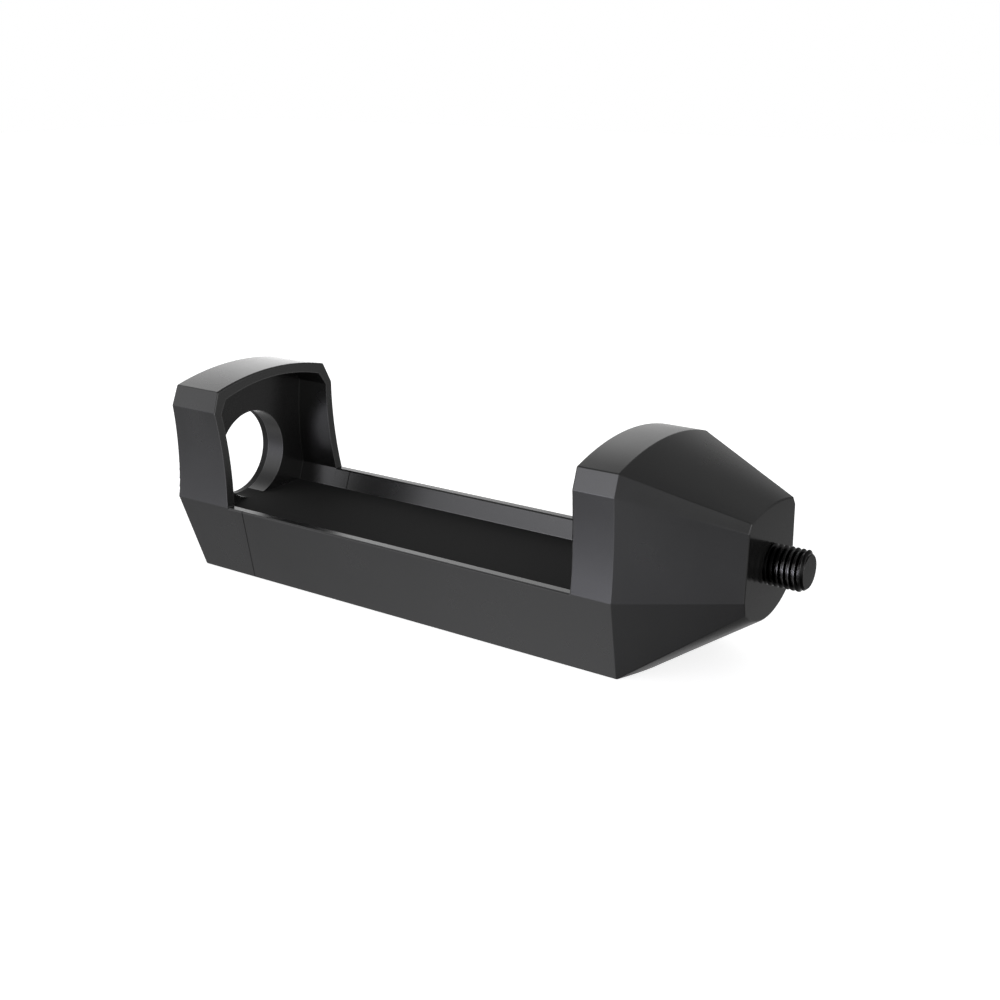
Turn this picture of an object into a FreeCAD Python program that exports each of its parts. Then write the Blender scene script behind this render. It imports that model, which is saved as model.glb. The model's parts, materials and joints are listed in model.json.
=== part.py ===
# Cradle mounting block with a hooded front end and a threaded rear stud.
# X runs along the block from the hood to the stud, Y across it, Z up from the flat underside.
import os
import math
import FreeCAD
import Part

V = FreeCAD.Vector

# ---- sizes, in millimetres -------------------------------------------------
# cradle: the open trough between the hood and the tower
cradle_length = 88.4        # clear length between the hood rim and the tower face, at the rails
rail_half_width = 19.3      # widest line, at the top of the rails
base_half_width = 16.4      # flat underside
rail_height = 16.4
floor_height = 12.25
rail_wall = 2.1
trough_draft = 20.0         # lean of the trough's walls, in degrees from upright

# hood: separate block bolted to the front of the cradle
hood_length = 15.5          # outer face to rim, at the rails
hood_height = 44.1          # crown of the arched top
hood_shoulder_height = 41.9
hood_shoulder_half_width = 17.3
hood_brow_height = 37.6     # lower edge of the shoulder
hood_brow_half_width = 19.2
hood_waist_half_width = 18.5
hood_rim_lean = 6.0         # degrees that the rim leans away from the cradle
hood_foot_slant = 4.4       # how far the outer face slants in below the rails
hood_skirt = 4.3            # short stub of trough in front of the rim
hood_wall = 2.0
hood_end_wall = 4.9

# aperture through the hood, and the ring on its outer face
aperture_radius = 10.33
aperture_height = 22.4
aperture_chamfer = 0.35
ring_width = 4.27
ring_thickness = 1.8
ring_screw_count = 4

# tower: solid upright at the rear of the cradle
tower_length = 8.9
tower_height = 43.6
tower_shoulder_height = 40.9
tower_shoulder_half_width = 17.6
tower_brow_height = 36.7
tower_brow_half_width = 19.1
tower_waist_half_width = 18.75

# nose: tapers from the tower to the stud face
nose_length = 22.5
nose_crown_height = 34.6
nose_shoulder_height = 33.4
nose_shoulder_half_width = 9.2
nose_brow_height = 31.8
nose_brow_half_width = 10.3
nose_rail_height = 18.8
nose_rail_half_width = 10.8
nose_base_height = 16.2
nose_base_half_width = 10.2
nose_keel_height = 12.4     # lowest point of the rounded underside, at the stud face
nose_keel_sag = 2.9         # how far the same rounded underside hangs below the corners at the tower

# stud, 5/16-24 UNF
stud_radius = 3.969
stud_height = 23.1
stud_proud = 7.6
stud_depth = 15.5
stud_tip_chamfer = 0.8
stud_drill_clearance = 0.8
stud_thread_engaged = 0.52   # how far the engaged thread is drawn below its crests

# M4 cap screws and 3 mm dowels that hold the hood
cap_screw_radius = 2.0
cap_head_radius = 3.5
cap_head_length = 4.0
cap_screw_length = 25.0
cap_socket_flats = 3.0
cap_socket_depth = 2.2
cap_clearance = 0.25
cap_head_clearance = 0.35
cap_seat = 7.3              # screw head seat, measured from the rim toward the outer face
cap_screw_offset = 9.2
joint_height = 5.5          # height of the screws and dowels
dowel_radius = 1.5
dowel_length = 10.0
dowel_offset = 14.2

# M4 set screw that locks the stud from below
set_screw_radius = 2.0
set_screw_length = 6.0
set_screw_setback = 10.0    # from the stud face
set_screw_flats = 2.0
set_screw_socket_depth = 2.0

# M2 countersunk screws that hold the ring
ring_screw_radius = 1.0
ring_screw_head_radius = 1.9
ring_screw_head_length = 1.1
ring_screw_length = 5.0
ring_screw_flats = 1.3
ring_screw_socket_depth = 0.6

edge_break = 0.4            # rounding of the outer edges
rail_break = 0.3            # bevel along both edges of each rail top
tap_runout = 1.5            # tapped holes run this much deeper than the screws

# ---- stations along X, with the origin in the middle of the whole length ----
overall_length = (ring_thickness + hood_length + cradle_length + tower_length
                  + nose_length + stud_proud)
ring_face_x = -overall_length / 2
outer_x = ring_face_x + ring_thickness
rim_x = outer_x + hood_length
seam_x = rim_x + hood_skirt
tower_in_x = rim_x + cradle_length
tower_out_x = tower_in_x + tower_length
stud_face_x = tower_out_x + nose_length
tip_x = stud_face_x + stud_proud
stud_tapped_radius = stud_radius - stud_thread_engaged
ring_radius = aperture_radius + ring_width
wall_run = (rail_height - floor_height) * math.tan(math.radians(trough_draft))
floor_half_width = rail_half_width - rail_wall - wall_run


# ---- small helpers ----------------------------------------------------------
def cylinder_x(radius, start, end, y, z):
    return Part.makeCylinder(radius, end - start, V(start, y, z), V(1, 0, 0))


def hexagon_x(flats, start, end, y, z):
    """Hexagonal prism along X, sized across its flats."""
    corner = flats / math.sqrt(3)
    points = []
    for i in range(6):
        angle = math.radians(60 * i + 30)
        points.append(V(start, y + corner * math.cos(angle), z + corner * math.sin(angle)))
    points.append(points[0])
    face = Part.Face(Part.makePolygon(points))
    return face.extrude(V(end - start, 0, 0))


def prism_x(points, start, end):
    """Straight-sided solid along X from (y, z) corners."""
    corners = [V(start, y, z) for y, z in points]
    corners.append(corners[0])
    return Part.Face(Part.makePolygon(corners)).extrude(V(end - start, 0, 0))


def prism_y(points, half_width):
    """Straight-sided solid across Y from (x, z) corners."""
    corners = [V(x, -half_width, z) for x, z in points]
    corners.append(corners[0])
    return Part.Face(Part.makePolygon(corners)).extrude(V(0, 2 * half_width, 0))


def middle(edge):
    return edge.valueAt((edge.FirstParameter + edge.LastParameter) / 2)


def flat_at(edge, x):
    """True for an edge that lies in the plane at station x."""
    box = edge.BoundBox
    return abs(box.XMin - x) < 0.02 and abs(box.XMax - x) < 0.02


def runs_between(edge, start, end):
    """True for an edge that runs from one station to the other."""
    box = edge.BoundBox
    return abs(box.XMin - start) < 0.05 and abs(box.XMax - end) < 0.05


def level(edge):
    """True for an edge that runs straight along X."""
    box = edge.BoundBox
    return box.YLength < 0.05 and box.ZLength < 0.05


def on_underside(edge):
    return abs(edge.BoundBox.ZMax) < 0.02


def line(x, a, b):
    return Part.makeLine(V(x, a[0], a[1]), V(x, b[0], b[1]))


def arc(x, a, b, c):
    return Part.Arc(V(x, a[0], a[1]), V(x, b[0], b[1]), V(x, c[0], c[1])).toShape()


def section(x, base, rail, waist, brow, shoulder, crown, keel):
    """Closed outline at station x. Each argument but crown and keel is a (half width, height)
    corner; waist is the half width where the side is drawn in, crown and keel are heights."""
    mid_height = (rail[1] + brow[1]) / 2
    edges = []
    if keel == base[1]:
        edges.append(line(x, (-base[0], base[1]), base))
    else:
        edges.append(arc(x, (-base[0], base[1]), (0, keel), base))
    edges.append(line(x, base, rail))
    edges.append(arc(x, rail, (waist, mid_height), brow))
    edges.append(line(x, brow, shoulder))
    edges.append(arc(x, shoulder, (0, crown), (-shoulder[0], shoulder[1])))
    edges.append(line(x, (-shoulder[0], shoulder[1]), (-brow[0], brow[1])))
    edges.append(arc(x, (-brow[0], brow[1]), (-waist, mid_height), (-rail[0], rail[1])))
    edges.append(line(x, (-rail[0], rail[1]), (-base[0], base[1])))
    return Part.Wire(edges)


def trough_outline():
    """Corners of the U-shaped section that the hood skirt and the cradle share."""
    inner = rail_half_width - rail_wall
    lean = (rail_half_width - base_half_width) / rail_height
    half = [(base_half_width, 0),
            (rail_half_width - rail_break * lean, rail_height - rail_break),
            (rail_half_width - rail_break, rail_height),
            (inner + rail_break, rail_height),
            (inner, rail_height - rail_break),
            (floor_half_width, floor_height)]
    other = [(-y, z) for y, z in reversed(half)]
    return half + other


base = (base_half_width, 0)
rail = (rail_half_width, rail_height)
tall = hood_height + tower_height


# ---- hood ---------------------------------------------------------------------
def hood_blank():
    brow = (hood_brow_half_width, hood_brow_height)
    shoulder = (hood_shoulder_half_width, hood_shoulder_height)
    wire = section(outer_x, base, rail, hood_waist_half_width, brow, shoulder, hood_height, 0)
    blank = Part.Face(wire).extrude(V(hood_length, 0, 0))
    # the rim plane leans toward the outer face above the rails
    rise = tall - rail_height
    lean = math.tan(math.radians(hood_rim_lean)) * rise
    wedge = [(rim_x, rail_height), (rim_x + 1, rail_height), (rim_x + 1, tall),
             (rim_x - lean, tall)]
    blank = blank.cut(prism_y(wedge, tall))
    # the outer face slants in below the rails
    foot = [(outer_x, rail_height), (outer_x - 1, rail_height), (outer_x - 1, -1),
            (outer_x + hood_foot_slant * (1 + 1 / rail_height), -1)]
    return blank.cut(prism_y(foot, tall))


def hood_pocket():
    """Hollow that opens toward the cradle, a wall's thickness inside the outer shape."""
    wall = hood_wall
    floor = (floor_half_width, floor_height)
    top = (rail_half_width - rail_wall, rail_height)
    brow = (hood_brow_half_width - wall, hood_brow_height - wall / 3)
    shoulder = (hood_shoulder_half_width - wall, hood_shoulder_height - wall)
    back_x = outer_x + hood_end_wall
    wire = section(back_x, floor, top, hood_waist_half_width - wall, brow, shoulder,
                   hood_height - wall, floor_height)
    return Part.Face(wire).extrude(V(hood_length, 0, 0))


def on_rim(edge):
    point = middle(edge)
    lean = math.tan(math.radians(hood_rim_lean)) * (point.z - rail_height)
    return point.z > rail_height + 0.1 and abs(point.x - rim_x + lean) < 0.05


def hood_outer_edges(shape):
    """Edges of the outer face, the two corners along the top, the foot and the top of the rim."""
    chosen = []
    for edge in shape.Edges:
        point = middle(edge)
        above = point.z > rail_height + 0.1
        beside_ring = abs(point.y) > ring_radius + 0.5 or point.z > hood_shoulder_height - 0.1
        face_outline = flat_at(edge, outer_x) and above and beside_ring
        runs_back = abs(edge.BoundBox.XMin - outer_x) < 0.05 and edge.BoundBox.XLength > 5
        corner = runs_back and level(edge) and above and abs(point.y) > hood_shoulder_half_width - 1
        box = edge.BoundBox
        foot_height = abs(box.ZMin) < 0.05 and abs(box.ZMax - rail_height) < 0.05
        foot = abs(box.XMin - outer_x) < 0.05 and foot_height
        underside = on_underside(edge) and box.XMax < seam_x - 0.1
        underside_side = on_underside(edge) and box.XLength > 5
        rim_top = on_rim(edge) and point.z > hood_brow_height - 0.1 and outside_pocket(point)
        if face_outline or corner or foot or underside or underside_side or rim_top:
            chosen.append(edge)
    return chosen


def outside_pocket(point):
    high = point.z > hood_height - hood_wall / 2
    wide = abs(point.y) > (hood_brow_half_width + hood_shoulder_half_width) / 2 - hood_wall / 2
    return high or wide


def hood_shape():
    shape = hood_blank()
    skirt = prism_x(trough_outline(), rim_x, seam_x)
    shape = shape.fuse(skirt)
    # round seat that carries the ring where the foot slants away
    seat_end = outer_x + hood_end_wall
    shape = shape.fuse(cylinder_x(ring_radius, outer_x, seat_end, 0, aperture_height))
    shape = shape.removeSplitter()
    shape = shape.cut(hood_pocket())
    shape = shape.makeFillet(edge_break, hood_outer_edges(shape))
    # the window stops at the pocket, so that its lowest point doesn't groove the floor
    back_x = outer_x + hood_end_wall
    shape = shape.cut(cylinder_x(aperture_radius, outer_x - 1, back_x, 0, aperture_height))
    # screws from the outer face, heads sunk below it
    for side in (-1, 1):
        y = side * cap_screw_offset
        seat = rim_x - cap_seat
        clear = cylinder_x(cap_screw_radius + cap_clearance, seat, seam_x + 1, y, joint_height)
        head_radius = cap_head_radius + cap_head_clearance
        sink = cylinder_x(head_radius, outer_x - 1, seat, y, joint_height)
        shape = shape.cut(clear).cut(sink)
        pin_start = seam_x - dowel_length / 2
        pin = cylinder_x(dowel_radius, pin_start, seam_x + 1, side * dowel_offset, joint_height)
        shape = shape.cut(pin)
    for y, z in ring_screw_places():
        depth = ring_screw_length - ring_thickness + tap_runout / 2
        hole = cylinder_x(ring_screw_radius, outer_x - 1, outer_x + depth, y, z)
        shape = shape.cut(hole)
    return shape


# ---- ring on the outer face ------------------------------------------------------
def ring_screw_places():
    radius = (aperture_radius + ring_radius) / 2
    places = []
    for i in range(ring_screw_count):
        angle = math.radians(360 * (i + 0.5) / ring_screw_count)
        places.append((radius * math.cos(angle), aperture_height + radius * math.sin(angle)))
    return places


def ring_shape():
    shape = cylinder_x(ring_radius, ring_face_x, outer_x, 0, aperture_height)
    shape = shape.cut(cylinder_x(aperture_radius, ring_face_x - 1, outer_x + 1, 0, aperture_height))
    rims = []
    for edge in shape.Edges:
        if edge.Curve.TypeId == "Part::GeomCircle":
            rims.append(edge)
    shape = shape.makeChamfer(aperture_chamfer / 2, rims)
    for y, z in ring_screw_places():
        shape = shape.cut(ring_screw_blank(y, z))
    return shape


def ring_screw_blank(y, z):
    """Countersunk screw without its drive: cone head flush with the ring, then the shank."""
    cone = Part.makeCone(ring_screw_head_radius, ring_screw_radius, ring_screw_head_length,
                         V(ring_face_x, y, z), V(1, 0, 0))
    shank_start = ring_face_x + ring_screw_head_length
    shank = cylinder_x(ring_screw_radius, shank_start, ring_face_x + ring_screw_length, y, z)
    return cone.fuse(shank).removeSplitter()


def ring_screws_shape():
    screws = []
    for y, z in ring_screw_places():
        depth = ring_face_x + ring_screw_socket_depth
        drive = hexagon_x(ring_screw_flats, ring_face_x - 1, depth, y, z)
        screws.append(ring_screw_blank(y, z).cut(drive))
    return Part.makeCompound(screws)


# ---- cradle body: trough, tower and nose in one piece ------------------------------
def tower_section(x, keel):
    brow = (tower_brow_half_width, tower_brow_height)
    shoulder = (tower_shoulder_half_width, tower_shoulder_height)
    return section(x, base, rail, tower_waist_half_width, brow, shoulder, tower_height, keel)


def nose_section(x):
    corner = (nose_base_half_width, nose_base_height)
    side = (nose_rail_half_width, nose_rail_height)
    brow = (nose_brow_half_width, nose_brow_height)
    shoulder = (nose_shoulder_half_width, nose_shoulder_height)
    flat = (nose_rail_half_width + nose_brow_half_width) / 2 - 0.02
    return section(x, corner, side, flat, brow, shoulder, nose_crown_height, nose_keel_height)


def body_outer_edges(shape):
    """Edges of the tower and the nose, and the long edges of the underside."""
    chosen = []
    for edge in shape.Edges:
        above = middle(edge).z > rail_height + 0.1
        tower_face = flat_at(edge, tower_in_x) and above
        tower_back = flat_at(edge, tower_out_x)
        nose_end = flat_at(edge, stud_face_x)
        tower_top = runs_between(edge, tower_in_x, tower_out_x) and above
        nose_corner = runs_between(edge, tower_out_x, stud_face_x)
        underside = on_underside(edge) and (level(edge) or edge.BoundBox.XMin > tower_out_x - 0.1)
        if tower_face or tower_back or nose_end or tower_top or nose_corner or underside:
            chosen.append(edge)
    return chosen


def cradle_body_shape():
    trough = prism_x(trough_outline(), seam_x, tower_in_x + tower_length / 2)
    tower = Part.Face(tower_section(tower_in_x, 0)).extrude(V(tower_length, 0, 0))
    nose = Part.makeLoft([tower_section(tower_out_x, -nose_keel_sag), nose_section(stud_face_x)],
                         True, True)
    below = Part.makeBox(nose_length * 2, tall, tall, V(tower_out_x - 1, -tall / 2, -tall))
    nose = nose.cut(below)
    shape = trough.fuse([tower, nose]).removeSplitter()
    shape = shape.makeFillet(edge_break, body_outer_edges(shape))
    bore_end = stud_face_x - stud_depth - stud_drill_clearance
    shape = shape.cut(cylinder_x(stud_tapped_radius, bore_end, tip_x, 0, stud_height))
    screw_x = stud_face_x - set_screw_setback
    set_hole = Part.makeCylinder(set_screw_radius, stud_height, V(screw_x, 0, 0))
    shape = shape.cut(set_hole)
    for side in (-1, 1):
        y = side * cap_screw_offset
        end = rim_x - cap_seat + cap_screw_length + tap_runout
        shape = shape.cut(cylinder_x(cap_screw_radius, seam_x - 1, end, y, joint_height))
        pin_end = seam_x + dowel_length / 2
        pin = cylinder_x(dowel_radius, seam_x - 1, pin_end, side * dowel_offset, joint_height)
        shape = shape.cut(pin)
    return shape


# ---- fasteners ----------------------------------------------------------------------
def stud_shape():
    # The thread is drawn at its crests where it is free and at its tapping size in the nose.
    start = stud_face_x - stud_depth
    free = cylinder_x(stud_radius, stud_face_x, tip_x, 0, stud_height)
    engaged = cylinder_x(stud_tapped_radius, start, stud_face_x, 0, stud_height)
    shape = engaged.fuse(free)
    ends = []
    for edge in shape.Edges:
        at_end = edge.BoundBox.XMin > tip_x - 0.01 or edge.BoundBox.XMax < start + 0.01
        if at_end and edge.Curve.TypeId == "Part::GeomCircle":
            ends.append(edge)
    return shape.makeChamfer(stud_tip_chamfer, ends)


def cap_screws_shape():
    screws = []
    seat = rim_x - cap_seat
    top = seat - cap_head_length
    for side in (-1, 1):
        y = side * cap_screw_offset
        shank = cylinder_x(cap_screw_radius, seat, seat + cap_screw_length, y, joint_height)
        head = cylinder_x(cap_head_radius, top, seat, y, joint_height)
        drive = hexagon_x(cap_socket_flats, top - 1, top + cap_socket_depth, y, joint_height)
        screws.append(shank.fuse(head).removeSplitter().cut(drive))
    return Part.makeCompound(screws)


def dowels_shape():
    pins = []
    for side in (-1, 1):
        start = seam_x - dowel_length / 2
        end = seam_x + dowel_length / 2
        pins.append(cylinder_x(dowel_radius, start, end, side * dowel_offset, joint_height))
    return Part.makeCompound(pins)


def set_screw_shape():
    top = stud_height - stud_tapped_radius
    foot = top - set_screw_length
    screw_x = stud_face_x - set_screw_setback
    shape = Part.makeCylinder(set_screw_radius, set_screw_length, V(screw_x, 0, foot))
    corner = set_screw_flats / math.sqrt(3)
    points = []
    for i in range(6):
        angle = math.radians(60 * i)
        points.append(V(screw_x + corner * math.cos(angle), corner * math.sin(angle), foot - 1))
    points.append(points[0])
    drive = Part.Face(Part.makePolygon(points)).extrude(V(0, 0, 1 + set_screw_socket_depth))
    return shape.cut(drive)


# ---- write one file per piece ---------------------------------------------------------
pieces = {
    "cradle_body": cradle_body_shape(),
    "hood": hood_shape(),
    "aperture_ring": ring_shape(),
    "stud": stud_shape(),
    "hood_cap_screws": cap_screws_shape(),
    "hood_dowels": dowels_shape(),
    "ring_screws": ring_screws_shape(),
    "stud_set_screw": set_screw_shape(),
}

os.makedirs("parts", exist_ok=True)
for name, shape in pieces.items():
    print(name, len(shape.Solids), shape.isValid(), round(shape.Volume, 1))
    shape.exportStep("parts/" + name + ".step")
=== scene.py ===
# %% [markdown]
# # A black anodised cradle mount
#
# The real object is a small clamp-free holder, machined from aluminium bar and dyed black. A long
# cradle carries the load, a tall tower with a tapered nose closes one end, and a bolted hood with a
# round window closes the other. A threaded stud in the nose screws it to something else.
#
# The shape of the big parts comes from CAD and stays as it is. This lesson adds what the CAD model
# leaves out: real screw threads, knurled heads, hexagon sockets, and the finishes.

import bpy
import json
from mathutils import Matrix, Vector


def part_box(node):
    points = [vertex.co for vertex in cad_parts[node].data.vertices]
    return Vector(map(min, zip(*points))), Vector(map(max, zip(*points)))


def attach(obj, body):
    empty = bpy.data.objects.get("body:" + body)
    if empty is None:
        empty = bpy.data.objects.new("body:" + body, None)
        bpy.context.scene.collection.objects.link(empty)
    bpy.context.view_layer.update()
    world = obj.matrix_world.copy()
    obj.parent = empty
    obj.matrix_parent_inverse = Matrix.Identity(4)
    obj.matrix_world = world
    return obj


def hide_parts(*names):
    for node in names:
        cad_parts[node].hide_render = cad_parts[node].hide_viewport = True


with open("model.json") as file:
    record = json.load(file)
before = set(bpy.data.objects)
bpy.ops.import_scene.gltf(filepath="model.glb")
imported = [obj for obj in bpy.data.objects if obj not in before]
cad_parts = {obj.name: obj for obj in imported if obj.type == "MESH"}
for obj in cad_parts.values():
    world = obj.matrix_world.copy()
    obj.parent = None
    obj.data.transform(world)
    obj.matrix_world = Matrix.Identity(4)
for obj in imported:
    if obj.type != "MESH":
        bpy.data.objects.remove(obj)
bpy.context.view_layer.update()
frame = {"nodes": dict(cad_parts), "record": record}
print("pieces from CAD:", sorted(frame["nodes"]))

# %% Other tools the lesson needs
import json
import math

import bmesh
import bpy
from mathutils import Matrix, Vector

MM = 0.001

# %% [markdown]
# ## The camera
#
# The holder is seen from in front and from the right, the side of the nose, and a little from above. A
# normal lens a bit less than 30 cm away keeps the gentle perspective of a small product on a table. The
# angles, the distance and the lens come from a fit of the view, so they aren't round numbers.

# %% Place the camera
VIEW_AZIMUTH = math.radians(34.24)
VIEW_ELEVATION = math.radians(18.40)
VIEW_DISTANCE = 288.0 * MM
VIEW_AIM = Vector((1.2, 5.1, 22.1)) * MM

away = Vector((
    math.sin(VIEW_AZIMUTH) * math.cos(VIEW_ELEVATION),
    -math.cos(VIEW_AZIMUTH) * math.cos(VIEW_ELEVATION),
    math.sin(VIEW_ELEVATION),
))
camera = bpy.data.objects.new("camera", bpy.data.cameras.new("camera"))
camera.data.sensor_width = 36.0
camera.data.lens = 48.97
camera.data.clip_start = 0.01
camera.location = VIEW_AIM + away * VIEW_DISTANCE
camera.rotation_euler = away.to_track_quat("Z", "Y").to_euler()
bpy.context.scene.collection.objects.link(camera)
bpy.context.scene.camera = camera
print("camera at", [round(c, 4) for c in camera.location])

# %% [markdown]
# ## Two helpers for finishes
#
# Colours are written as a painter would pick them, as sRGB hex values, and Blender works in linear
# light, so one function turns the first into the second. Another function adds a shader node with
# its settings and its links in one go, which keeps each finish short enough to read.

# %% Colours and nodes
def linear(hex_colour):
    """An sRGB hex colour such as "#1c1c1e" as linear red, green, blue and alpha."""
    parts = [int(hex_colour[i:i + 2], 16) / 255 for i in (1, 3, 5)]
    return tuple(p / 12.92 if p <= 0.04045 else ((p + 0.055) / 1.055) ** 2.4 for p in parts) + (1.0,)


def add(tree, kind, settings=None, inputs=None):
    """Adds a node. Settings are its own properties; inputs are values, or other nodes' sockets to link."""
    made = tree.nodes.new(kind)
    for name, value in (settings or {}).items():
        setattr(made, name, value)
    for name, value in (inputs or {}).items():
        if isinstance(value, bpy.types.NodeSocket):
            tree.links.new(value, made.inputs[name])
        else:
            made.inputs[name].default_value = value
    return made


def new_finish(name):
    """An empty material with its output node, ready for a shader."""
    finish = bpy.data.materials.new(name)
    finish.use_nodes = True
    finish.node_tree.nodes.clear()
    return finish, finish.node_tree


def finish_with(tree, shader):
    """Links a shader's first output to the material's surface."""
    tree.links.new(shader.outputs[0], add(tree, "ShaderNodeOutputMaterial").inputs["Surface"])


print("black anodising in linear light:", [round(c, 4) for c in linear("#404040")])

# %% [markdown]
# ## Floor and soft light
#
# A dark metal is seen almost only by what it reflects, so each flat side is as bright as the part of
# the room that it mirrors. One big white tent would make every side the same grey. Separate soft panels
# can light each side on its own, while the rest of the room stays dark. Lamps with hard rims could do
# that, but a rim shows as a line in a satin surface, so here each panel is a soft spot on the world
# itself, brightest in its middle and fading outwards.
#
# The panels aren't a plan of a real studio. A least-squares fit chose the first sixteen, from the greys
# that the sides should have, and the last three were added. So they are one light that gives these
# greys, and other lights may give them as well.
#
# The camera sees plain white behind the object. The floor is a white light table that only the camera
# sees: it is left out of the reflections and the light, so that the low panels reach the object.

# %% White light table
FLOOR_SIZE = 3.0
TABLE_GLOW = 0.75
TABLE_ROUGHNESS = 0.9

floor_mesh = bpy.data.meshes.new("white_floor")
bm = bmesh.new()
bmesh.ops.create_grid(bm, x_segments=2, y_segments=2, size=FLOOR_SIZE / 2)
bm.to_mesh(floor_mesh)
bm.free()
floor = bpy.data.objects.new("white_floor", floor_mesh)
bpy.context.scene.collection.objects.link(floor)

opal, tree = new_finish("opal_white_acrylic")
finish_with(tree, add(tree, "ShaderNodeBsdfPrincipled", inputs={
    "Base Color": linear("#e6e6e6"), "Roughness": TABLE_ROUGHNESS,
    "Emission Color": linear("#ffffff"), "Emission Strength": TABLE_GLOW}))
floor_mesh.materials.append(opal)
floor.visible_diffuse = False
floor.visible_glossy = False
floor.visible_shadow = False
print("floor", FLOOR_SIZE, "m wide")

# %% Soft panels round the object
DIM_ROOM = 0.15
SOFT_PANELS = [
    # azimuth, elevation and half width in degrees, strength, colour: these sixteen come from the fit
    (-90, 0, 27.8, 1.44, "#ffffff"),
    (64, 16, 19.6, 2.45, "#ffffff"),
    (-18, 0, 19.6, 1.70, "#f4f4ff"),
    (-136, -16, 10.7, 5.34, "#ffffff"),
    (-18, 0, 10.7, 4.49, "#f4f4ff"),
    (-135, 14, 19.6, 1.23, "#ffffff"),
    (-18, 32, 10.7, 1.36, "#ffffff"),
    (-110, 30, 10.7, 1.21, "#ffffff"),
    (-28, 16, 10.7, 1.20, "#ffffff"),
    (-40, -46, 10.7, 1.10, "#ffffff"),
    (-2, -30, 10.7, 0.97, "#ffffff"),
    (-178, -30, 10.7, 0.91, "#ffffff"),
    (36, 0, 10.7, 0.89, "#ffffff"),
    (-142, 30, 10.7, 0.57, "#ffffff"),
    (162, 41, 10.7, 0.46, "#ffffff"),
    (162, -32, 10.7, 0.18, "#ffffff"),
    # added so that the back and the top can be read
    (124, 8, 14, 1.00, "#ffffff"),
    (-62, 24, 12, 1.20, "#ffffff"),
    (-160, 78, 20, 0.22, "#ffffff"),
]


def direction(azimuth, elevation):
    """The unit vector towards an azimuth, counted from the front, and an elevation, in degrees."""
    turn, rise = math.radians(azimuth), math.radians(elevation)
    return (math.sin(turn) * math.cos(rise), -math.cos(turn) * math.cos(rise), math.sin(rise))


def soft_panel(tree, looking, azimuth, elevation, half_width, strength, colour):
    """The light of one panel: half as bright at half_width degrees from its middle."""
    tightness = math.log(2) / (1 - math.cos(math.radians(half_width)))
    closeness = add(tree, "ShaderNodeVectorMath", {"operation": "DOT_PRODUCT"}, {
        0: looking, 1: direction(azimuth, elevation)})
    falling = add(tree, "ShaderNodeMath", {"operation": "MULTIPLY_ADD"}, {
        0: closeness.outputs["Value"], 1: tightness, 2: -tightness})
    spot = add(tree, "ShaderNodeMath", {"operation": "EXPONENT"}, {0: falling.outputs["Value"]})
    return add(tree, "ShaderNodeVectorMath", {"operation": "SCALE"}, {
        0: [c * strength for c in linear(colour)[:3]], "Scale": spot.outputs["Value"]}).outputs["Vector"]


# %% Add the panels up on the world
world = bpy.data.worlds.new("dark_room_with_soft_panels")
world.use_nodes = True
tree = world.node_tree
tree.nodes.clear()
looking = add(tree, "ShaderNodeTexCoord").outputs["Generated"]
light = (DIM_ROOM, DIM_ROOM, DIM_ROOM)
for panel in SOFT_PANELS:
    light = add(tree, "ShaderNodeVectorMath", {"operation": "ADD"}, {
        0: light, 1: soft_panel(tree, looking, *panel)}).outputs["Vector"]
straight = add(tree, "ShaderNodeLightPath").outputs["Is Camera Ray"]
seen = add(tree, "ShaderNodeMix", {"data_type": "RGBA"}, {0: straight, 6: light, 7: linear("#ffffff")})
sky = add(tree, "ShaderNodeBackground", inputs={"Color": seen.outputs[2]})
tree.links.new(sky.outputs[0], add(tree, "ShaderNodeOutputWorld").inputs["Surface"])
bpy.context.scene.world = world
bpy.context.scene.view_settings.view_transform = "Standard"
print(len(SOFT_PANELS), "soft panels")

# %% [markdown]
# ## Edge wear and painted highlights
#
# Handling rubs the dye off sharp edges first, and here the pale edge is also a painted highlight, the thin
# line of light that an edge catches. Such an edge could be painted by hand. The Bevel node finds it
# instead: it gives the normal that a slightly rounded edge would have, and where that differs from the
# real normal, there is an edge.

# %% A mask for edge wear and painted highlights
EDGE_STARTS = 0.995
EDGE_IS_FULL = 0.88


# The pale edges it makes are part rubbed wear and part painted highlight.
def edge_wear_and_highlight(tree, width, amount):
    """A value that is 0 on flat faces and rises towards sharp edges, over about that width."""
    flat = add(tree, "ShaderNodeNewGeometry")
    rounded = add(tree, "ShaderNodeBevel", {"samples": 6}, {"Radius": width})
    alike = add(tree, "ShaderNodeVectorMath", {"operation": "DOT_PRODUCT"}, {
        0: flat.outputs["Normal"], 1: rounded.outputs["Normal"]})
    return add(tree, "ShaderNodeMapRange", inputs={
        "Value": alike.outputs["Value"], "From Min": EDGE_STARTS, "From Max": EDGE_IS_FULL,
        "To Min": 0.0, "To Max": amount}).outputs["Result"]


print("an edge starts at", round(math.degrees(math.acos(EDGE_STARTS)), 1), "degrees of turn")

# %% [markdown]
# ## Painted shade on the floor, faced end and joint
#
# Three places get a finish of their own, picked for how they look in this light and not for a known
# cause. The floor of the cradle is painted dull and very dark, as painted shade in the trough, because
# the finish of the sides would make it far too bright here. The end of the nose is a little smoother, for
# a sharper mirror image of the stud. The joint between the hood and the cradle is a thin dark line,
# because the mask for edge wear and painted highlights would make it pale. These could be separate
# material slots, but the CAD mesh has one, so a mask finds each place by its normal or its position.

# %% Masks for the three places
FACES_UP = 0.9
FACES_ALONG = 0.99
FLOOR_MARGIN = 0.2 * MM
JOINT_WIDTH = 0.14 * MM


def check(tree, operation, value, limit):
    """A Math node's result for one comparison, 1 where it is true."""
    return add(tree, "ShaderNodeMath", {"operation": operation}, {0: value, 1: limit}).outputs["Value"]


def axes(tree, vector):
    """A vector's X, Y and Z."""
    return add(tree, "ShaderNodeSeparateXYZ", inputs={"Vector": vector}).outputs


# Mask for the painted shade: the cradle floor is painted near black and dull.
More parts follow.
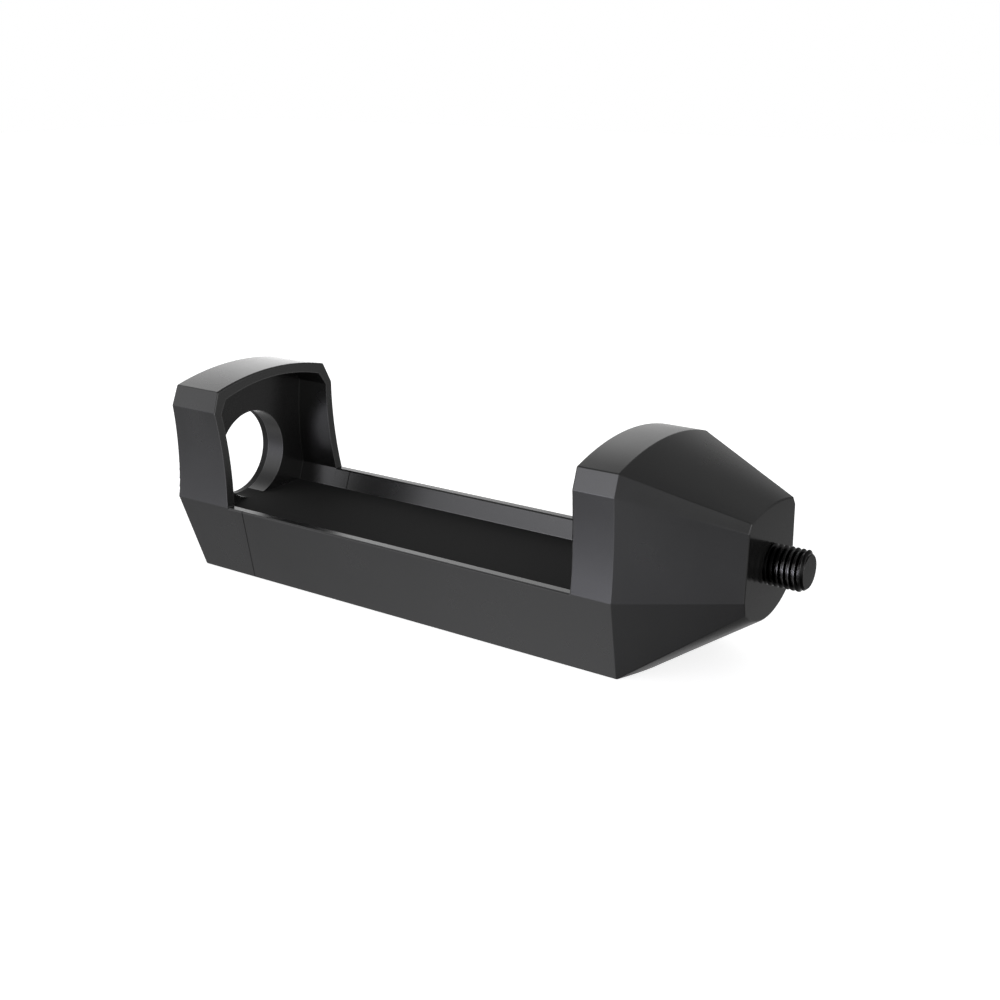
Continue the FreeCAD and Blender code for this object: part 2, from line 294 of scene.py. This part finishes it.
def painted_shade_floor(tree, place, height):
    """A value that is 1 on faces that look up from that height or below it."""
    normal = add(tree, "ShaderNodeNewGeometry").outputs["True Normal"]
    up = check(tree, "GREATER_THAN", axes(tree, normal)["Z"], FACES_UP)
    low = check(tree, "LESS_THAN", axes(tree, place)["Z"], height + FLOOR_MARGIN)
    return check(tree, "MULTIPLY", up, low)


def faced_end(tree):
    """A value that is 1 on the flat face that looks along the stud."""
    normal = add(tree, "ShaderNodeNewGeometry").outputs["True Normal"]
    return check(tree, "GREATER_THAN", axes(tree, normal)["X"], FACES_ALONG)


def joint_line(tree, place, joint_x):
    """A value that is 1 on the thin line where the hood meets the cradle."""
    return add(tree, "ShaderNodeMath", {"operation": "COMPARE"}, {
        0: axes(tree, place)["X"], 1: joint_x, 2: JOINT_WIDTH}).outputs["Value"]


joint_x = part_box("hood")[1].x
cradle_floor = next(m for m in frame["record"]["mounts"] if m["name"] == "cradle_floor")
floor_z = cradle_floor["pos_m"][2]
print("joint at", round(joint_x / MM, 2), "mm, milled floor at", round(floor_z / MM, 2), "mm")


# %% Two ways to mix by a mask
def blend_colours(tree, mask, colour, other):
    """The first colour where the mask is 0 and the other where it is 1."""
    return add(tree, "ShaderNodeMix", {"data_type": "RGBA"}, {0: mask, 6: colour, 7: other}).outputs[2]


def blend_values(tree, mask, value, other):
    """The first number where the mask is 0 and the other where it is 1."""
    return add(tree, "ShaderNodeMix", {"data_type": "FLOAT"}, {0: mask, 2: value, 3: other}).outputs[0]


# %% [markdown]
# ## Black anodised aluminium, bead blasted
#
# The holder is aluminium that was milled, blasted with fine glass beads and then anodised and dyed.
# The eye sees a very dark grey that is half shiny, with an even, powdery grain, and thin pale lines at
# the edges, partly where the dye and the blasting are rubbed off and partly a painted highlight where the
# edges catch the light. The grain and the edge wear are what such parts usually have, and were not
# measured. The metallic share could be 1, as for bare metal, but that leaves the inside of the hood
# nearly black in this light, so 0.8 was picked by how it looks there. The grain is finer than one can see
# from here, so it is drawn at about 0.3 mm, as coarse as it has to be to show.

# %% Finish of the cradle and the hood
CLOUD_SIZE = 14 * MM
GRAIN_SIZE = 0.3 * MM
GRAIN_HEIGHT = 0.05 * MM
GRAIN_STRENGTH = 0.05
EDGE_WIDTH = 0.35 * MM
EDGE_AMOUNT = 0.35
ROUGHNESS_DRIFT = 0.02
METALLIC_SHARE = 0.8
# Near black, for the dark joint line and for the painted shade on the cradle floor.
JOINT_AND_PAINTED_SHADE_BLACK = "#080808"
FLOOR_ROUGHNESS = 1.0


def blasted_anodising(name, dye, pale_dye, rub_and_highlight, roughness, floor_height=None, end_roughness=None):
    """Bead-blasted, dyed aluminium. dye and pale_dye are its two shades; the third colour is that of its
    edges, part rubbed wear and part painted highlight.
    """
    finish, tree = new_finish(name)
    place = add(tree, "ShaderNodeTexCoord").outputs["Object"]
    cloud = add(tree, "ShaderNodeTexNoise", inputs={
        "Vector": place, "Scale": 1 / CLOUD_SIZE, "Detail": 3.0, "Roughness": 0.5}).outputs["Fac"]
    grain = add(tree, "ShaderNodeTexNoise", inputs={
        "Vector": place, "Scale": 1 / GRAIN_SIZE, "Detail": 2.0, "Roughness": 0.6}).outputs["Fac"]
    bump = add(tree, "ShaderNodeBump", inputs={
        "Height": grain, "Strength": GRAIN_STRENGTH, "Distance": GRAIN_HEIGHT})
    colour = blend_colours(tree, cloud, linear(dye), linear(pale_dye))
    # Paler edges: part rubbed wear, part painted highlight.
    colour = blend_colours(tree, edge_wear_and_highlight(tree, EDGE_WIDTH, EDGE_AMOUNT), colour, linear(rub_and_highlight))
    colour = blend_colours(tree, joint_line(tree, place, joint_x), colour, linear(JOINT_AND_PAINTED_SHADE_BLACK))
    rough = add(tree, "ShaderNodeMapRange", inputs={
        "Value": cloud, "From Min": 0.3, "From Max": 0.7, "To Min": roughness - ROUGHNESS_DRIFT,
        "To Max": roughness + ROUGHNESS_DRIFT}).outputs["Result"]
    metal = METALLIC_SHARE
    # Painted shade: the cradle floor is painted near black and dull.
    if floor_height:
        painted_shade_on_floor = painted_shade_floor(tree, place, floor_height)
        colour = blend_colours(tree, painted_shade_on_floor, colour, linear(JOINT_AND_PAINTED_SHADE_BLACK))
        rough = blend_values(tree, painted_shade_on_floor, rough, FLOOR_ROUGHNESS)
        metal = blend_values(tree, painted_shade_on_floor, metal, 0.0)
    if end_roughness:
        rough = blend_values(tree, faced_end(tree), rough, end_roughness)
    finish_with(tree, add(tree, "ShaderNodeBsdfPrincipled", inputs={
        "Base Color": colour, "Metallic": metal, "Roughness": rough, "Normal": bump.outputs["Normal"]}))
    return finish


def dress(node, finish):
    """Gives a CAD piece its finish, in its object's own material slots."""
    for slot in frame["nodes"][node].material_slots:
        slot.material = finish
    print(node, "wears", finish.name)


# %% Dress the three anodised pieces
BLASTED = 0.26
FACED = 0.14
TURNED = 0.5

dress("cradle_body", blasted_anodising(
    "black_anodised_cradle", "#404040", "#454545", "#8c8c8c", BLASTED, floor_z, FACED))
dress("hood", blasted_anodising(
    "black_anodised_hood", "#404040", "#454545", "#8c8c8c", BLASTED, floor_z))
dress("aperture_ring", blasted_anodising("black_anodised_ring", "#141414", "#1a1a1a", "#4a4a4a", TURNED))

# %% [markdown]
# ## Ground steel
#
# The two dowels are ground pins of bare steel, bright, with fine scratches that run round them. Noise
# that is stretched across the pin gives the scratches. On such a pin they are 0.1 mm apart or less, too
# fine to show, so they are 0.3 mm apart here.

# %% Finish of the dowels
SCRATCH_SPACING = 0.3 * MM
SCRATCH_DEPTH = 0.01 * MM


def ground_steel(name, colour, roughness):
    """Ground steel, with fine scratches round the pin."""
    finish, tree = new_finish(name)
    place = add(tree, "ShaderNodeTexCoord").outputs["Object"]
    stretched = add(tree, "ShaderNodeMapping", inputs={"Vector": place, "Scale": (1.0, 0.05, 0.05)})
    lines = add(tree, "ShaderNodeTexNoise", inputs={
        "Vector": stretched.outputs["Vector"], "Scale": 1 / SCRATCH_SPACING, "Detail": 2.0})
    rough = add(tree, "ShaderNodeMapRange", inputs={
        "Value": lines.outputs["Fac"], "To Min": roughness - 0.05, "To Max": roughness + 0.08})
    bump = add(tree, "ShaderNodeBump", inputs={
        "Height": lines.outputs["Fac"], "Strength": 0.2, "Distance": SCRATCH_DEPTH})
    finish_with(tree, add(tree, "ShaderNodeBsdfPrincipled", inputs={
        "Base Color": linear(colour), "Metallic": 1.0, "Roughness": rough.outputs["Result"],
        "Normal": bump.outputs["Normal"]}))
    return finish


dress("hood_dowels", ground_steel("ground_steel_dowels", "#b4b4b6", 0.28))

# %% [markdown]
# ## Threads
#
# A screw thread is one V-shaped ridge that winds along the rod. It could be faked with a bump, or
# cut with a boolean. Here a saw-tooth line is spun once round the rod while it moves on by one
# pitch, so that each tooth meets the next one and the ridge runs right round by itself. The ends are
# then cut flat, and the tip is turned down to a cone, as a lathe does it.

# %% A threaded rod
THREAD_DEPTH = 0.6134
CREST_FLAT = 1 / 8
ROOT_FLAT = 1 / 4


def only(kind, geometry):
    """The vertices, edges or faces among an operator's results."""
    return [g for g in geometry if isinstance(g, kind)]


def close_ends(bm):
    """Puts a flat face over every open ring."""
    open_edges = [e for e in bm.edges if e.is_boundary]
    return bmesh.ops.holes_fill(bm, edges=open_edges, sides=0)["faces"]


def threaded_rod(radius, pitch, length, tip, steps):
    """A right-handed threaded rod along +Z from 0 to length, its far end chamfered by tip."""
    bm = bmesh.new()
    depth = THREAD_DEPTH * pitch
    crest, root = CREST_FLAT * pitch, ROOT_FLAT * pitch
    flank = (pitch - crest - root) / 2
    last = bmesh.ops.create_vert(bm, co=(radius - depth, 0, -2 * pitch))["vert"][0]
    for tooth in range(math.ceil(length / pitch) + 4):
        for along, out in ((root, 0), (flank, depth), (crest, 0), (flank, -depth)):
            grown = bmesh.ops.extrude_vert_indiv(bm, verts=[last])
            last = grown["verts"][0]
            bmesh.ops.translate(bm, verts=[last], vec=(out, 0, along))
    bmesh.ops.spin(bm, geom=bm.verts[:] + bm.edges[:], cent=(0, 0, 0), axis=(0, 0, 1),
                   dvec=(0, 0, pitch / steps), angle=2 * math.pi, steps=steps)
    bmesh.ops.remove_doubles(bm, verts=bm.verts[:], dist=pitch * 1e-3)
    cuts = [(0, -1), (length, 1), (length - tip, 0), (length - tip / 2, 0), (length - tip / 5, 0)]
    for height, side in cuts:
        bmesh.ops.bisect_plane(bm, geom=bm.verts[:] + bm.edges[:] + bm.faces[:], dist=1e-7,
                               plane_co=(0, 0, height), plane_no=(0, 0, side or 1),
                               clear_outer=bool(side))
    for v in bm.verts:
        reach = math.hypot(v.co.x, v.co.y)
        allowed = radius - max(0.0, v.co.z - (length - tip))
        if reach > allowed:
            v.co.x *= allowed / reach
            v.co.y *= allowed / reach
    close_ends(bm)
    bmesh.ops.recalc_face_normals(bm, faces=bm.faces[:])
    return bm


trial = threaded_rod(4 * MM, 1 * MM, 10 * MM, 0.8 * MM, 48)
print("trial rod:", len(trial.faces), "faces, open edges:", sum(e.is_boundary for e in trial.edges))
trial.free()

# %% A piece from a bmesh
CREASE = math.radians(30)


def make_piece(name, bm, node, finish):
    """Turns a bmesh into a named piece that stands for a CAD node and takes its finish."""
    mesh = bpy.data.meshes.new(name)
    bm.to_mesh(mesh)
    bm.free()
    mesh.polygons.foreach_set("use_smooth", [True] * len(mesh.polygons))
    mesh.set_sharp_from_angle(angle=CREASE)
    mesh.materials.append(finish)
    piece = bpy.data.objects.new(name, mesh)
    bpy.context.scene.collection.objects.link(piece)
    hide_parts(node)
    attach(piece, "root")
    print(name, "has", len(mesh.polygons), "faces")
    return piece


# %% [markdown]
# ## Black oxide on steel
#
# Screws and studs are hardened steel, boiled in salts until a thin black oxide forms, then oiled.
# The oxide is darker than the anodising, and paler on the crests, partly where the threads rub and
# partly a painted highlight where the crests catch the light.

# %% Finish of the stud and the screws
BLOTCH_SIZE = 1.5 * MM
CREST_WIDTH = 0.12 * MM
CREST_WEAR_AND_HIGHLIGHT = 0.6


def black_oxide(name, dark, crest_rub_and_highlight, roughness):
    """Oiled black oxide: nearly black, blotched in its gloss, paler on the crests from rubbing and from a
    painted highlight.
    """
    finish, tree = new_finish(name)
    place = add(tree, "ShaderNodeTexCoord").outputs["Object"]
    blotch = add(tree, "ShaderNodeTexNoise", inputs={
        "Vector": place, "Scale": 1 / BLOTCH_SIZE, "Detail": 3.0})
    # Paler crests: part rubbed wear, part painted highlight.
    crest = edge_wear_and_highlight(tree, CREST_WIDTH, CREST_WEAR_AND_HIGHLIGHT)
    colour = blend_colours(tree, crest, linear(dark), linear(crest_rub_and_highlight))
    rough = add(tree, "ShaderNodeMapRange", inputs={
        "Value": blotch.outputs["Fac"], "From Min": 0.3, "From Max": 0.7,
        "To Min": roughness - 0.06, "To Max": roughness + 0.06})
    bump = add(tree, "ShaderNodeBump", inputs={
        "Height": blotch.outputs["Fac"], "Strength": 0.1, "Distance": 0.02 * MM})
    finish_with(tree, add(tree, "ShaderNodeBsdfPrincipled", inputs={
        "Base Color": colour, "Metallic": 1.0, "Roughness": rough.outputs["Result"],
        "Normal": bump.outputs["Normal"]}))
    return finish


oxide_stud = black_oxide("black_oxide_stud_steel", "#1c1c1c", "#8e8e8e", 0.17)
oxide_screws = black_oxide("black_oxide_screw_steel", "#242426", "#707072", 0.30)

# %% [markdown]
# ## The stud
#
# The stud is a plain threaded rod that is screwed into the nose and sticks out by a little less than
# its own diameter. Its pitch is that of a fine 5/16 inch thread, 24 turns to the inch.

# %% Make the stud
STUD_PITCH = 25.4 / 24 * MM
STUD_TIP = 0.8 * MM

stud_low, stud_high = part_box("stud")
stud_radius = (stud_high.z - stud_low.z) / 2
stud_rod = threaded_rod(stud_radius, STUD_PITCH, stud_high.x - stud_low.x, STUD_TIP, 96)
bmesh.ops.rotate(stud_rod, verts=stud_rod.verts[:], cent=(0, 0, 0),
                 matrix=Matrix.Rotation(math.radians(90), 3, "Y"))
bmesh.ops.translate(stud_rod, verts=stud_rod.verts[:],
                    vec=(stud_low.x, (stud_low.y + stud_high.y) / 2, (stud_low.z + stud_high.z) / 2))
make_piece("threaded_stud", stud_rod, "stud", oxide_stud)

# %% [markdown]
# ## Socket screws
#
# A cap screw is turned from bar: a round head with a straight knurl for the fingers, a small
# chamfer on its rim, and a broached hexagon socket with a drilled, cone-shaped bottom. Each step of
# the lathe is one ring of edges, so the head is grown ring by ring: extrude, move, scale. The round
# rim and the hexagon are then bridged, which works cleanly because both have the same number of
# points.

# %% A socket head
KNURL_DEPTH = 0.12 * MM


def grow(bm, ring, up=0.0, scale=1.0):
    """Extrudes a ring of edges, then moves the new ring up and scales it about the Z axis."""
    result = bmesh.ops.extrude_edge_only(bm, edges=ring)
    new = set(only(bmesh.types.BMVert, result["geom"]))
    bmesh.ops.scale(bm, verts=list(new), vec=(scale, scale, 1))
    bmesh.ops.translate(bm, verts=list(new), vec=(0, 0, up))
    return [e for e in bm.edges if e.verts[0] in new and e.verts[1] in new]


def ring_at(bm, points, radius, height, cuts=0):
    """A flat ring of edges round the Z axis; cuts more points go on each of its sides."""
    made = bmesh.ops.create_circle(bm, segments=points, radius=radius)
    edges = list({e for v in made["verts"] for e in v.link_edges})
    bmesh.ops.translate(bm, verts=made["verts"], vec=(0, 0, height))
    if cuts:
        bmesh.ops.subdivide_edges(bm, edges=edges, cuts=cuts)
        edges = [e for e in bm.edges if all(abs(v.co.z - height) < 1e-9 for v in e.verts)]
    return edges


def socket_head(radius, height, chamfer, flats, socket_depth, ridges=0, foot_radius=None):
    """A closed screw head that stands on Z = 0, its hexagon socket open at the top. A countersunk
    head has a foot_radius, that of its shank, and tapers down to it."""
    bm = bmesh.new()
    points = ridges * 2 or 72
    hexagon = ring_at(bm, 6, flats / math.sqrt(3), height, points // 6 - 1)
    rim = ring_at(bm, points, foot_radius or radius, 0.0)
    foot = list({v for e in rim for v in e.verts})
    if ridges:
        foot.sort(key=lambda v: math.atan2(v.co.y, v.co.x))
        bmesh.ops.scale(bm, verts=foot[::2], vec=(1 - KNURL_DEPTH / radius, 1 - KNURL_DEPTH / radius, 1))
    wall = grow(bm, rim, up=height - chamfer, scale=radius / (foot_radius or radius))
    top = grow(bm, wall, up=chamfer, scale=1 - chamfer / radius)
    mouth = grow(bm, hexagon, up=-socket_depth)
    well = grow(bm, mouth, up=-flats / 12, scale=0.4)
    bmesh.ops.bridge_loops(bm, edges=top + hexagon)
    bmesh.ops.holes_fill(bm, edges=well, sides=0)
    bmesh.ops.holes_fill(bm, edges=rim, sides=0)
    bmesh.ops.recalc_face_normals(bm, faces=bm.faces[:])
    return bm


trial = socket_head(3.5 * MM, 4 * MM, 0.3 * MM, 3 * MM, 2 * MM, 48)
print("trial head:", len(trial.faces), "faces, open edges:", sum(e.is_boundary for e in trial.edges))
trial.free()


# %% Put copies of one screw where they belong
def join(target, source, matrix):
    """Adds a copy of source to target, moved by matrix."""
    loose = bpy.data.meshes.new("copy")
    source.to_mesh(loose)
    loose.transform(matrix)
    target.from_mesh(loose)
    bpy.data.meshes.remove(loose)


def middle(low, high):
    return (low + high) / 2


# %% [markdown]
# ## The two long cap screws under the hood
#
# They pull the hood against the cradle. Only their heads show, sunk in two counterbores, but each is
# made whole: an M4 thread of 0.7 mm pitch, 25 mm long.

# %% Make the long cap screws
CAP_HEAD_RADIUS = 3.5 * MM
CAP_HEAD_LENGTH = 4.0 * MM
CAP_SOCKET_FLATS = 3.0 * MM
CAP_SOCKET_DEPTH = 2.2 * MM
M4_RADIUS = 2.0 * MM
M4_PITCH = 0.7 * MM

low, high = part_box("hood_cap_screws")
cap_screw = socket_head(CAP_HEAD_RADIUS, CAP_HEAD_LENGTH, 0.3 * MM, CAP_SOCKET_FLATS, CAP_SOCKET_DEPTH, 48)
shank = threaded_rod(M4_RADIUS, M4_PITCH, high.x - low.x - CAP_HEAD_LENGTH, 0.4 * MM, 48)
join(cap_screw, shank, Matrix.Rotation(math.pi, 4, "X"))
shank.free()

both = bmesh.new()
faces_out = Matrix.Rotation(-math.pi / 2, 4, "Y")
for y in (low.y + CAP_HEAD_RADIUS, high.y - CAP_HEAD_RADIUS):
    under_head = Vector((low.x + CAP_HEAD_LENGTH, y, middle(low, high).z))
    join(both, cap_screw, Matrix.Translation(under_head) @ faces_out)
cap_screw.free()
make_piece("socket_cap_screws", both, "hood_cap_screws", oxide_screws)

# %% [markdown]
# ## The four small screws of the window ring
#
# Four M2 screws hold the ring round the window. Their countersunk heads taper down to the shank and
# sit flush in the ring, with a 1.3 mm socket.

# %% Make the ring screws
RING_HEAD_RADIUS = 1.9 * MM
RING_HEAD_LENGTH = 1.1 * MM
RING_SOCKET_FLATS = 1.3 * MM
RING_SOCKET_DEPTH = 0.6 * MM
M2_RADIUS = 1.0 * MM
M2_PITCH = 0.4 * MM

low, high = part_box("ring_screws")
ring_screw = socket_head(RING_HEAD_RADIUS, RING_HEAD_LENGTH, 0.05 * MM, RING_SOCKET_FLATS,
                         RING_SOCKET_DEPTH, foot_radius=M2_RADIUS)
shank = threaded_rod(M2_RADIUS, M2_PITCH, high.x - low.x - RING_HEAD_LENGTH, 0.2 * MM, 36)
join(ring_screw, shank, Matrix.Rotation(math.pi, 4, "X"))
shank.free()

four = bmesh.new()
for y in (low.y + RING_HEAD_RADIUS, high.y - RING_HEAD_RADIUS):
    for z in (low.z + RING_HEAD_RADIUS, high.z - RING_HEAD_RADIUS):
        join(four, ring_screw, Matrix.Translation((low.x + RING_HEAD_LENGTH, y, z)) @ faces_out)
ring_screw.free()
make_piece("window_ring_screws", four, "ring_screws", oxide_screws)

# %% [markdown]
# ## The set screw under the nose
#
# A headless M4 screw presses on the stud from below, so that it can't turn out. It is the same
# threaded rod with a hexagon socket broached in its lower end.

# %% Make the set screw
SET_SOCKET_FLATS = 2.0 * MM
SET_SOCKET_DEPTH = 2.0 * MM

low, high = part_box("stud_set_screw")
set_screw = threaded_rod(M4_RADIUS, M4_PITCH, high.z - low.z, 0.4 * MM, 48)
end_face = max(set_screw.faces, key=lambda f: len(f.verts) * (f.normal.z < -0.9))
bmesh.ops.inset_region(set_screw, faces=[end_face], thickness=0.3 * MM, use_even_offset=True)
bmesh.ops.delete(set_screw, geom=[end_face], context="FACES_ONLY")
inner = [e for e in set_screw.edges if e.is_boundary]
hexagon = ring_at(set_screw, 6, SET_SOCKET_FLATS / math.sqrt(3), 0.0, 9)
hexagon = [e for e in hexagon if e.is_wire]
deep = grow(set_screw, hexagon, up=SET_SOCKET_DEPTH)
bottom = grow(set_screw, deep, up=SET_SOCKET_FLATS / 12, scale=0.4)
bmesh.ops.bridge_loops(set_screw, edges=inner + hexagon)
bmesh.ops.holes_fill(set_screw, edges=bottom, sides=0)
bmesh.ops.recalc_face_normals(set_screw, faces=set_screw.faces[:])
bmesh.ops.translate(set_screw, verts=set_screw.verts[:],
                    vec=(middle(low, high).x, middle(low, high).y, low.z))
print("set screw: open edges", sum(e.is_boundary for e in set_screw.edges))
make_piece("stud_lock_screw", set_screw, "stud_set_screw", oxide_screws)
